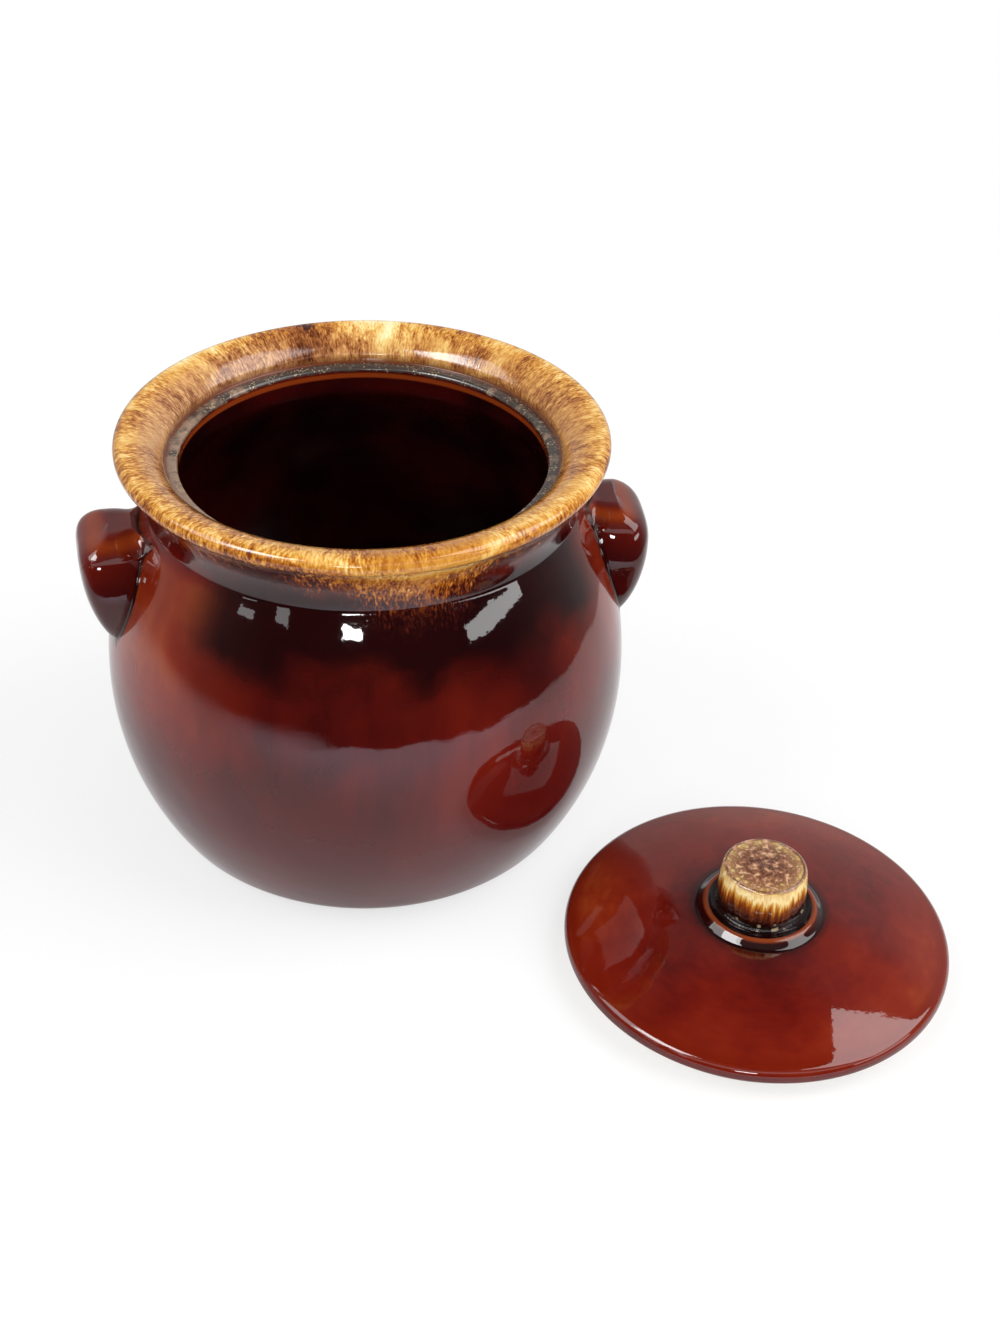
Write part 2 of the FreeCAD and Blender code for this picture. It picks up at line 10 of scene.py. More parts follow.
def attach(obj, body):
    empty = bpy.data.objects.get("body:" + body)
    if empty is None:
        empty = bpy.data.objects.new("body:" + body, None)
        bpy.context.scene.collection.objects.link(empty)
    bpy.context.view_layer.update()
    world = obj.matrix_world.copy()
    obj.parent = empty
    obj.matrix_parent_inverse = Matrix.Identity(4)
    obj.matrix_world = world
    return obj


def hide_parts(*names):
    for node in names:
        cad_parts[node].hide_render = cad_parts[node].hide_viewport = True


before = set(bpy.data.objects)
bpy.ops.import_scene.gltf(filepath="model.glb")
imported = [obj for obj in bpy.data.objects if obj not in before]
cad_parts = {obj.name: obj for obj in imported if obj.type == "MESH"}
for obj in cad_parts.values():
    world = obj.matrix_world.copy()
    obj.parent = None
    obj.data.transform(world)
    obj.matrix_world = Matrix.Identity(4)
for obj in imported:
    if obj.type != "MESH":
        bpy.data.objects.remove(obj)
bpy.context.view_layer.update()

MM = 0.001
SEGMENTS = 384                      # round the pot and the lid
STREAK_RADIUS = 0.077               # metres: the glaze's streaks are true to size at the rim
LID_CENTRE = (0.114867, -0.105996)  # metres
DRAWN_STEP = 0.25                   # mm between the points of an arc or a line as drawn
EVEN_STEP = 0.1                     # mm between the points of a whole outline

# the arcs of the pot's outside in mm: centre (radius from the axis, height) and radius
BELLY_Z = 59
LOWER_CENTRE, LOWER_RADIUS = (-17.7, BELLY_Z), 106
SHOULDER_CENTRE, SHOULDER_RADIUS = (-38.47, BELLY_Z), 126.77
COLLAR_CENTRE, COLLAR_RADIUS = (95.316, 123.1), 24.416
NECK_RADIUS = 70.9
LEDGE_Z = 136.9
# the lid's dome: one centre for its top and its underside
DOME_CENTRE = (0, -165.33)


# ---------------------------------------------------------------- outlines

def lengths(points):
    """The distance from each point to the next."""
    return np.linalg.norm(np.diff(points, axis=0), axis=1)


def run_of(points):
    """The way along the points, from 0 at the first."""
    return np.r_[0, np.cumsum(lengths(points))]


def points_at(wanted, along, points):
    """The points at the wanted places along a line of points."""
    return np.column_stack([np.interp(wanted, along, points[:, i]) for i in (0, 1)])


def arc(centre, radius, start, end):
    """Points in mm along an arc, angles in degrees."""
    count = max(2, int(abs(math.radians(end - start)) * radius / DRAWN_STEP) + 1)
    turn = np.radians(np.linspace(start, end, count))
    return np.column_stack((centre[0] + radius * np.cos(turn), centre[1] + radius * np.sin(turn)))


def line(start, end):
    """Points in mm along a straight run."""
    start, end = np.array(start, float), np.array(end, float)
    count = max(2, int(np.linalg.norm(end - start) / DRAWN_STEP) + 1)
    return start + (end - start) * np.linspace(0, 1, count)[:, None]


def joined(*runs):
    """One line of points, evenly spaced, with no point twice."""
    points = np.vstack(runs)
    same_place = 1e-6       # mm
    points = points[np.r_[True, lengths(points) > same_place]]
    along = run_of(points)
    even = np.linspace(0, along[-1], int(along[-1] / EVEN_STEP) + 1)
    return points_at(even, along, points)


def softened(points, reach):
    """The glaze rounds every corner: a moving average with that reach in mm, the ends held."""
    spacing = np.linalg.norm(points[1] - points[0])
    half = int(3 * reach / spacing)
    weight = np.exp(-0.5 * (np.arange(-half, half + 1) * spacing / reach) ** 2)
    weight /= weight.sum()
    padded = np.vstack([2 * points[0] - points[half:0:-1], points,
                        2 * points[-1] - points[-2:-half - 2:-1]])
    smooth = np.column_stack([np.convolve(padded[:, i], weight, "valid") for i in (0, 1)])
    smooth[0], smooth[-1] = points[0], points[-1]
    return smooth


def rows_of(points, coarse, fine_at=None, fine=0.6):
    """Picks the rows of a lathe from a fine outline: closer where it bends or where the glaze runs.

    Gives the rows and their places along the outline, both in mm."""
    turn_per_row = 0.09     # radians
    step = np.diff(points, axis=0)
    heading = np.unwrap(np.arctan2(step[:, 1], step[:, 0]))
    bend = np.r_[0, np.abs(np.diff(heading))]
    middle = (points[1:] + points[:-1]) / 2
    spacing = np.where(fine_at(middle), fine, coarse) if fine_at else coarse
    cost = np.r_[0, np.cumsum(lengths(points) / spacing + bend / turn_per_row)]
    along = run_of(points)
    wanted = np.interp(np.linspace(0, cost[-1], int(cost[-1]) + 2), cost, along)
    return points_at(wanted, along, points), wanted


def pot_outline():
    """From the middle of the foot, up the outside, over the rim and down inside to the floor."""
    outside = [
        line((0, 0.5), (53.5, 0.5)), line((54.5, 0), (63.243, 0)),
        arc((63.243, 12.8), 12.8, -90, -29.72),
        arc(LOWER_CENTRE, LOWER_RADIUS, -29.72, 0),
        arc(SHOULDER_CENTRE, SHOULDER_RADIUS, 0, 30.37),
        arc(COLLAR_CENTRE, COLLAR_RADIUS, 180, 131.92),
        arc((77, 143.5), 3, -48.08, 90),
    ]
    inside = [
        arc((77, 131.5), 15, 90, 147.14),
        line((64.4, 139.64), (64.4, LEDGE_Z)),
        line((64.4, LEDGE_Z), (61.2, LEDGE_Z)),
        arc((61.2, 135.7), 1.2, 90, 180),
        line((60, 135.7), (60, 128.8)),
        arc((65, 128.8), 5, 180, 213.94),
        arc((-38.7, 59), 120, 33.94, 0),
        arc((-17.7, 59), 99, 0, -25.8),
        arc((58.825, 22), 14, -25.8, -90),
        line((58.825, 8), (0, 8)),
    ]
    return softened(joined(*outside, *inside), 0.5)


def lid_outline():
    """From the middle under the knob, out over the dome and back along the underside."""
    runs = [
        # the step under the knob: a shallow groove, a crest and a sloping flank
        line((0, 21.8), (12.5, 21.8)),
        line((13.6, 21.6), (14.6, 21.25)), line((15.8, 21.25), (17.0, 21.8)),
        line((17.5, 21.85), (17.9, 21.75)),
        line((18.2, 21.6), (20.0, 19.95)), line((20.5, 19.58), (21.2, 19.48)),
        # the dome, its round edge and the seat
        arc(DOME_CENTRE, 186, 83.5, 70.98),
        arc((59.5, 7.2), 3.5, 70.98, 0),
        line((63, 7.2), (63, 6.5)), arc((62, 6.5), 1.0, 0, -90),
        line((62, 5.5), (58.9, 5.5)),
        # the locating ring and the hollow underside
        line((58.4, 5.0), (58.4, 1.5)),
        arc((56.9, 1.5), 1.5, 0, -90), arc((53.9, 1.5), 1.5, -90, -180),
        line((52.4, 1.5), (52.4, 5.9)),
        arc(DOME_CENTRE, 180, 73.3, 90),
    ]
    return softened(joined(*runs), 0.28)


def knob_outline():
    """From the middle of the knob's foot, up its barrel side and over the crown."""
    runs = [
        line((0, 21.6), (14.3, 21.6)), line((14.3, 21.7), (13.5, 22.5)),
        arc((-15.6, 29.319), 30, -12.5, 13.2),
        arc((11.8, 36.1), 1.8, 20, 76),
        arc((0, -51.98), 90, 82.2, 90),
    ]
    return softened(joined(*runs), 0.25)


# ---------------------------------------------------------------- meshes

def new_object(name, vertices, faces, materials, face_material=None):
    """A smooth mesh in the scene; face_material is the place of each face's material in the list."""
    mesh = bpy.data.meshes.new(name)
    mesh.from_pydata([tuple(v) for v in vertices], [], [tuple(f) for f in faces])
    mesh.validate()
    mesh.update()
    for material in materials:
        mesh.materials.append(material)
    mesh.polygons.foreach_set("use_smooth", [True] * len(mesh.polygons))
    if face_material is not None:
        mesh.polygons.foreach_set("material_index", list(map(int, face_material)))
    obj = bpy.data.objects.new(name, mesh)
    bpy.context.scene.collection.objects.link(obj)
    return obj


def set_vector(obj, name, values):
    """Keeps a vector on each point, for the material to read."""
    layer = obj.data.attributes.new(name, "FLOAT_VECTOR", "POINT")
    layer.data.foreach_set("vector", np.asarray(values, np.float32).ravel())


def set_number(obj, name, values):
    """Keeps a number on each point, for the material to read."""
    layer = obj.data.attributes.new(name, "FLOAT", "POINT")
    layer.data.foreach_set("value", np.asarray(values, np.float32).ravel())


def glazed_all_over(start, end):
    """No face of it stays bare."""
    return False


def bare_foot(start, end):
    """The pot's underside, which stays unglazed: rows in mm as (radius, height)."""
    return max(start[1], end[1]) < 0.62 and max(start[0], end[0]) < 63.6


def bare_ring(start, end):
    """The lid's seat and locating ring, which stay unglazed."""
    return max(start[1], end[1]) < 5.6 and min(start[0], end[0]) > 51.9


def lathe(name, rows, run, centre, materials, bare, waver):
    """A closed solid of revolution in metres; rows in mm start and end on the axis.

    Faces between rows that are bare get the second material. Each point keeps "flow": its place
    round the axis at a fixed radius, and its run along the outline."""
    angle = np.linspace(0, math.tau, SEGMENTS, endpoint=False)
    inner = rows[1:-1] * MM
    r = inner[:, 0][:, None] * np.ones(SEGMENTS)
    z = inner[:, 1][:, None] * np.ones(SEGMENTS)
    dr, dz = waver(r, z, angle[None, :])
    r, z = r + dr, z + dz
    ring = np.stack((centre[0] + r * np.cos(angle), centre[1] + r * np.sin(angle), z), axis=-1)
    ends = [(centre[0], centre[1], rows[0][1] * MM), (centre[0], centre[1], rows[-1][1] * MM)]
    vertices = np.vstack((ring.reshape(-1, 3), ends))
    count = len(inner)
    first, last = count * SEGMENTS, count * SEGMENTS + 1
    faces, face_material = [], []
    around = [(j, (j + 1) % SEGMENTS) for j in range(SEGMENTS)]
    for j, k in around:
        faces.append((first, k, j))
    for i in range(count - 1):
        a, b = i * SEGMENTS, (i + 1) * SEGMENTS
        for j, k in around:
            faces.append((a + j, a + k, b + k, b + j))
    for j, k in around:
        faces.append((last, (count - 1) * SEGMENTS + j, (count - 1) * SEGMENTS + k))
    for start, end in zip(rows[:-1], rows[1:]):
        face_material += [bare(start, end)] * SEGMENTS
    obj = new_object(name, vertices, faces, materials, face_material)
    flow = np.stack((STREAK_RADIUS * np.cos(angle) * np.ones_like(r),
                     STREAK_RADIUS * np.sin(angle) * np.ones_like(r),
                     run[1:-1][:, None] * MM * np.ones_like(r)), axis=-1).reshape(-1, 3)
    flow = np.vstack((flow, [(0, 0, run[0] * MM), (0, 0, run[-1] * MM)]))
    set_vector(obj, "flow", flow)
    return obj


def pot_waver(r, z, angle):
    """The thrown shape is a little out of round, and never larger than drawn."""
    high = np.clip((z - 0.02) / 0.1, 0, 1)
    swing = 0.5 + 0.5 * np.sin(2 * angle + 0.8 + 9 * z)
    small = 0.5 + 0.5 * np.sin(5 * angle - 1.1 + 40 * z)
    dip = 0.5 + 0.5 * np.sin(3 * angle)
    return -(0.00022 * swing + 0.00008 * small) * high, -0.00012 * dip * high


def lid_waver(r, z, angle):
    """The lid's edge is a little out of round too."""
    edge = np.clip(r / 0.063, 0, 1) ** 2
    return -0.00010 * (0.5 + 0.5 * np.sin(2 * angle + 1)) * edge, 0 * r


def knob_waver(r, z, angle):
    """The drips stand a little proud of the barrel side."""
    side = np.clip((z - 0.0225) / 0.004, 0, 1) * np.clip((0.037 - z) / 0.004, 0, 1)
    drips = 0.5 + 0.28 * np.sin(17 * angle + 1) + 0.22 * np.sin(29 * angle + 2.2)
    return -0.00022 * drips * side, 0 * r


# ---------------------------------------------------------------- handles

def pot_distance(x, y, z):
    """Distance in mm from the pot's outer side, near the shoulder and the collar; negative in the clay."""
    outside = 99.0      # mm: beyond the rim there is no clay
    r = np.hypot(x, y)
    shoulder = np.hypot(r - SHOULDER_CENTRE[0], z - BELLY_Z) - SHOULDER_RADIUS
    lower = np.hypot(r - LOWER_CENTRE[0], z - BELLY_Z) - LOWER_RADIUS
    curled = COLLAR_RADIUS - np.hypot(r - COLLAR_CENTRE[0], z - COLLAR_CENTRE[1])
    curled = np.where(r < 95, curled, outside)
    collar = np.where(z > COLLAR_CENTRE[1], curled, r - NECK_RADIUS)
    return np.minimum(np.where(z < BELLY_Z, lower, shoulder), collar)


def lug_distance(x, y, z, lug):
    """Distance in mm from the lug: a flat top, sides that swell to round hips, and a blunt base.

    Its sizes: reach and top are how far out and how high it goes, corner and drop are the radii of its
    profile above and below its corner, narrow and wide are its half-widths at the top and at the hips,
    hip is the hips' height, belly is how much it swells above them, and foot is where its base ends.
    Square is how square its level sections are, behind middle they narrow in an arc of radius bow, and
    soft rounds its upper edge. The second value is 1 on that edge and falls to 0 either side of it."""
    top, corner_z = lug["top"], lug["top"] - lug["corner"]
    round_from, roundness = lug["hip"] + 6, 2.1     # mm: from here down the base rounds off

    def block(x, y, z):
        """Below 1 inside the lug: every level section is a squarish round."""
        above = np.clip(z - corner_z, 0, lug["corner"] - 0.05)
        under = np.clip(corner_z - z, 0, lug["drop"])
        tip = np.where(z > corner_z, np.sqrt(lug["corner"] ** 2 - above ** 2) - lug["corner"],
                       np.sqrt(lug["drop"] ** 2 - under ** 2) - lug["drop"]) + lug["reach"]
        fall = np.clip((top - z) / (top - lug["hip"]), 0, 1)
        wide = lug["narrow"] + (lug["wide"] - lug["narrow"]) * (fall + lug["belly"] * fall * (1 - fall))
        end = np.clip((round_from - z) / (round_from - lug["foot"]), 0, 0.97)
        wide = wide * (1 - end ** roundness) ** (1 / roundness)
        ahead = np.maximum(x - lug["middle"], 0) / np.maximum(tip - lug["middle"], 1.0)
        behind = np.maximum(lug["middle"] - x, 0) ** 2 / (2 * lug["bow"])
        square = lug["square"]
        return (ahead ** square + ((np.abs(y) + behind) / wide) ** square) ** (1 / square)

    value, tiny = block(x, y, z), 0.01
    slope = np.sqrt((block(x + tiny, y, z) - value) ** 2
                    + (block(x, y + tiny, z) - value) ** 2
                    + (block(x, y, z + tiny) - value) ** 2) / tiny
    side = (value - 1) / np.maximum(slope, 0.01)
    lid = z - top
    soft = lug["soft"]
    overlap = np.maximum(soft - np.abs(side - lid), 0) / soft
    return np.maximum(side, lid) + overlap ** 2 * soft / 4, overlap


def root_reach(z):
    """How wide in mm the lug blends into the pot: tight at its sides, wide up under the collar."""
    return 0.7 + 4.3 * np.clip((z - 112.5) / 6.5, 0, 1) ** 1.5


def handle(name, azimuth, lug, material):
    """A lug that grows out of the shoulder; its back is buried in the pot's wall.

    It is made towards +X in mm, from rays that leave a point inside the pot, and then turned."""
    spokes, rings = 240, 110
    dip = 0.12                                      # how far its thin border lies under the pot's skin
    buried = 3.0                                    # how deep its back lies in the wall
    under_flare = 129                               # no part of it is above this height
    eye = np.array((60.0, 0.0, 97.0))
    reach = np.linspace(8.0, 62.0, 44)              # the places tried along each ray
    halvings = 20                                   # of each step, to find a place closely

    def shape(p):
        """The lug with its fillet and the pot's skin, as one field in mm."""
        x, y, z = p[..., 0], p[..., 1], p[..., 2]
        body, _ = lug_distance(x, y, z, lug)
        sunk, root = pot_distance(x, y, z) + dip, root_reach(z)
        blend = np.maximum(root - np.abs(body - sunk), 0) / root
        value = np.minimum(body, sunk) - blend ** 2 * root / 4
        return np.where(z > under_flare, 1.0, value)

    def skin(p):
        return pot_distance(p[..., 0], p[..., 1], p[..., 2]) + dip

    def wall(p):
        return pot_distance(p[..., 0], p[..., 1], p[..., 2]) + buried

    def cast(direction, field):
        """The last place along each ray where the field turns from inside to outside."""
        count = len(reach)
        inside = field(eye + direction[..., None, :] * reach[:, None]) < 0
        last = np.clip(count - 1 - np.argmax(inside[..., ::-1], axis=-1), 0, count - 2)
        low, high = reach[last], reach[last + 1]
        for _ in range(halvings):
            middle = (low + high) / 2
            deep = field(eye + direction * middle[..., None]) < 0
            low, high = np.where(deep, middle, low), np.where(deep, high, middle)
        return eye + direction * ((low + high) / 2)[..., None]

    def rays(tilt, spoke):
        """Directions that lean away from +X by tilt, round it by spoke."""
        return np.stack((np.cos(tilt) * np.ones_like(spoke), np.sin(tilt) * np.cos(spoke),
                         np.sin(tilt) * np.sin(spoke)), axis=-1)

    spoke = np.linspace(0, math.tau, spokes, endpoint=False)
    # the tilt, in radians, at which the lug's fillet has run out into the pot
    low, high = np.full(spokes, 0.05), np.full(spokes, 1.45)
    for _ in range(halvings):
        middle = (low + high) / 2
        x, y, z = cast(rays(middle, spoke), skin).T
        near = lug_distance(x, y, z, lug)[0] < root_reach(z) + 0.3
        low, high = np.where(near, middle, low), np.where(near, high, middle)
    # rings are closer together towards the root, where the form bends most
    share = np.linspace(0, 1, rings + 1)[1:]
    share = share + 0.22 * np.sin(math.pi * share) * share
    tilt = share[:, None] * low[None, :]
    every = rays(tilt, spoke[None, :] * np.ones_like(tilt))
    outer, inner = cast(every, shape), cast(every, wall)
    axis = np.array([[1.0, 0.0, 0.0]])
    tip, back = cast(axis, shape)[0], cast(axis, wall)[0]
    vertices = np.vstack((outer.reshape(-1, 3), inner.reshape(-1, 3), [tip, back]))
    x, y, z = vertices.T
    depth = pot_distance(x, y, z)
    _, edge = lug_distance(x, y, z, lug)
    turned = np.radians(azimuth)
    placed = np.column_stack((x * math.cos(turned) - y * math.sin(turned),
                              x * math.sin(turned) + y * math.cos(turned), z)) * MM
    faces, total = [], rings * spokes
    for j in range(spokes):
        k = (j + 1) % spokes
        faces.append((2 * total, j, k))
        faces.append((2 * total + 1, total + k, total + j))
        for i in range(rings - 1):
            a, b = i * spokes, (i + 1) * spokes
            faces.append((a + j, b + j, b + k, a + k))
            faces.append((total + a + j, total + a + k, total + b + k, total + b + j))
        rim = (rings - 1) * spokes
        faces.append((rim + j, total + rim + j, total + rim + k, rim + k))
    obj = new_object(name, placed, faces, [material])
    set_number(obj, "depth", depth * MM)
    set_number(obj, "edge", edge)
    return obj


# ---------------------------------------------------------------- node helpers

class Tree:
    """Small helpers to write a material's nodes as expressions."""

    def __init__(self, owner):
        owner.use_nodes = True
        self.tree = owner.node_tree
        self.tree.nodes.clear()

    def node(self, kind, inputs=(), **settings):
        made = self.tree.nodes.new(kind)
        for key, value in settings.items():
            setattr(made, key, value)
        for key, value in dict(inputs).items():
            self.put(made.inputs[key], value)
        return made

    def put(self, socket, value):
        if isinstance(value, bpy.types.NodeSocket):
            self.tree.links.new(value, socket)
        elif isinstance(value, (tuple, list)) and socket.type == "RGBA" and len(value) == 3:
            socket.default_value = (*value, 1)
        else:
            socket.default_value = value

    def math(self, operation, a, b=0.0, clamp=False):
        return self.node("ShaderNodeMath", {0: a, 1: b}, operation=operation, use_clamp=clamp).outputs[0]

    def add(self, a, b):
        return self.math("ADD", a, b)

    def sub(self, a, b):
        return self.math("SUBTRACT", a, b)

    def mul(self, a, b):
        return self.math("MULTIPLY", a, b)

    def remap(self, value, low, high, to_low=0.0, to_high=1.0, smooth=True):
        inputs = {"Value": value, "From Min": low, "From Max": high, "To Min": to_low, "To Max": to_high}
        kind = "SMOOTHSTEP" if smooth else "LINEAR"
        return self.node("ShaderNodeMapRange", inputs, interpolation_type=kind).outputs[0]

    def mix(self, factor, a, b):
        """Mixes two colours; sockets 6 and 7 and output 2 are the node's colour ones."""
        return self.node("ShaderNodeMix", {0: factor, 6: a, 7: b}, data_type="RGBA").outputs[2]

    def ramp(self, value, stops, kind="LINEAR"):
        made = self.node("ShaderNodeValToRGB", {0: value})
        made.color_ramp.interpolation = kind
        elements = made.color_ramp.elements
        while len(elements) < len(stops):
            elements.new(0.5)
        for element, (place, colour) in zip(elements, stops):
            element.position = place
            element.color = (*colour, 1) if isinstance(colour, tuple) else (colour, colour, colour, 1)
        return made.outputs[0]

    def ramp_mm(self, run, stops):
        """A ramp over a length in metres, its stops given in mm."""
        low, high = stops[0][0], stops[-1][0]
        share = self.remap(run, low * MM, high * MM, smooth=False)
        return self.ramp(share, [((mm - low) / (high - low), value) for mm, value in stops], "EASE")

    def noise(self, vector, scale, detail=2.0, roughness=0.5, distortion=0.0):
        inputs = {"Vector": vector, "Scale": scale, "Detail": detail, "Roughness": roughness,
                  "Distortion": distortion}
        return self.node("ShaderNodeTexNoise", inputs).outputs["Fac"]

    def spots(self, vector, scale):
        """Distance to the nearest of scattered points, in cells."""
        return self.node("ShaderNodeTexVoronoi", {"Vector": vector, "Scale": scale}).outputs["Distance"]

    def stretched(self, vector, x=1.0, y=1.0, z=1.0, move=(0, 0, 0)):
        inputs = {"Vector": vector, "Location": move, "Scale": (x, y, z)}
        return self.node("ShaderNodeMapping", inputs).outputs[0]

    def attribute(self, name):
        return self.node("ShaderNodeAttribute", attribute_name=name)

    def place(self):
        return self.node("ShaderNodeTexCoord").outputs["Object"]

    def split(self, vector):
        return self.node("ShaderNodeSeparateXYZ", {0: vector}).outputs

    def bump(self, height, distance, strength, normal=None):
        inputs = {"Height": height, "Distance": distance, "Strength": strength}
        if normal is not None:
            inputs["Normal"] = normal
        return self.node("ShaderNodeBump", inputs).outputs[0]

    def emission(self, colour):
        return self.node("ShaderNodeEmission", {"Color": colour, "Strength": 1.0}).outputs[0]

    def blend(self, factor, first, second):
        """Mixes two shaders."""
        return self.node("ShaderNodeMixShader", {0: factor, 1: first, 2: second}).outputs[0]

    def surface(self, shader):
        self.node("ShaderNodeOutputMaterial", {"Surface": shader})

    def glaze(self, colour, normal):
        """Fired glass: a sharp clear coat over a softer coloured body."""
        inputs = {"Base Color": colour, "Normal": normal, "Roughness": 0.06, "IOR": 1.5,
                  "Specular IOR Level": 0.05, "Coat Weight": 1.0, "Coat Roughness": 0.03,
                  "Coat IOR": 1.5, "Coat Normal": normal}
        self.surface(self.node("ShaderNodeBsdfPrincipled", inputs).outputs[0])


def new_material(name):
    material = bpy.data.materials.new(name)
    return material, Tree(material)


# ---------------------------------------------------------------- colours (linear)

BLACKISH = (0.0075, 0.0010, 0.0014)
MAROON = (0.038, 0.0022, 0.0021)
RED_BROWN = (0.112, 0.0055, 0.0030)
RUSSET = (0.190, 0.0140, 0.0045)
ORANGE_BROWN = (0.270, 0.0450, 0.0095)
DARK_BROWN = (0.070, 0.0130, 0.0045)
AMBER = (0.390, 0.1300, 0.0150)
GOLD = (0.620, 0.3000, 0.0480)
CREAM = (0.800, 0.5600, 0.2050)
IVORY = (0.860, 0.7200, 0.4200)
SLATE = (0.050, 0.0380, 0.0320)
FOG = (0.270, 0.1750, 0.1200)
BELLY_MAROON = (0.062, 0.0036, 0.0044)
LUG_MAROON = (0.034, 0.0024, 0.0026)
LUG_ORANGE = (0.300, 0.0480, 0.0080)
LID_EDGE_RED = (0.135, 0.0080, 0.0018)
STEP_BROWN = (0.240, 0.0450, 0.0100)
CREASE_BROWN = (0.170, 0.0500, 0.0140)
LIP_RED = (0.270, 0.0440, 0.0070)
SPECK_TAN = (0.520, 0.3800, 0.2300)
BEAD_TAN = (0.400, 0.3000, 0.1800)
CLAY_BROWN = (0.500, 0.3800, 0.2500)
CLAY_BUFF = (0.620, 0.5000, 0.3500)
CLAY_SPECK = (0.160, 0.0900, 0.0500)

# how the drip glaze goes from thin to thick, on the collar and inside the flare
COLLAR_DRIP = [(0.0, (0.026, 0.0030, 0.0028)), (0.18, (0.055, 0.0090, 0.0040)),
               (0.33, (0.190, 0.0450, 0.0070)), (0.48, AMBER), (0.65, GOLD), (0.84, CREAM), (1.0, IVORY)]
FLARE_DRIP = [(0.0, DARK_BROWN), (0.30, (0.240, 0.085, 0.028)), (0.50, (0.440, 0.205, 0.085)),
              (0.66, (0.60, 0.34, 0.15)), (0.86, CREAM), (1.0, IVORY)]
# up the knob's side, by height in mm, and the mottling on its crown
KNOB_SIDE = [(22.6, (0.008, 0.002, 0.002)), (26.2, (0.026, 0.005, 0.003)), (28.4, (0.105, 0.019, 0.004)),
             (30.4, (0.220, 0.052, 0.007)), (31.9, (0.440, 0.160, 0.022)), (33.1, (0.660, 0.380, 0.090)),
             (34.4, (0.850, 0.670, 0.320)), (37.4, (0.700, 0.450, 0.160))]
KNOB_CROWN = [(0.38, (0.060, 0.020, 0.012)), (0.46, (0.140, 0.050, 0.026)), (0.55, (0.265, 0.110, 0.055)),
              (0.66, (0.600, 0.380, 0.220))]


def red_brown(t, where, low_at, high_at, thin_glaze_and_light=0.0):
    """The pot's own glaze: maroon where it is thick, orange where it is thin.

    The cloud's values from low_at to high_at go from thick to thin, and thin_glaze_and_light shifts that:
    towards orange for thinner glaze and painted light, towards maroon for painted shade."""
    broad = t.noise(where, 16, 2, 0.5, 0.6)
    runs = t.noise(t.stretched(where, 1, 1, 0.25), 95, 3, 0.55, 0.3)
    cloud = t.add(t.mul(broad, 0.74), t.mul(runs, 0.26))
    share = t.add(t.remap(cloud, low_at, high_at, smooth=False), thin_glaze_and_light)
    stops = [(0.0, MAROON), (0.34, RED_BROWN), (0.75, RUSSET), (1.0, ORANGE_BROWN)]
    return t.ramp(share, stops, "B_SPLINE")


def glaze_relief(t, where, extra=None, extra_depth=0.0):
    """The soft waviness of fired glaze, a faint grain, and the relief of its drips where given."""
    wave = t.noise(where, 70, 1, 0.4)
    normal = t.bump(wave, 0.0016, 0.12)
    fine = t.noise(where, 620, 1, 0.4)
    normal = t.bump(fine, 0.00012, 0.10, normal)
    if extra is not None:
        normal = t.bump(extra, extra_depth, 0.5, normal)
    return normal


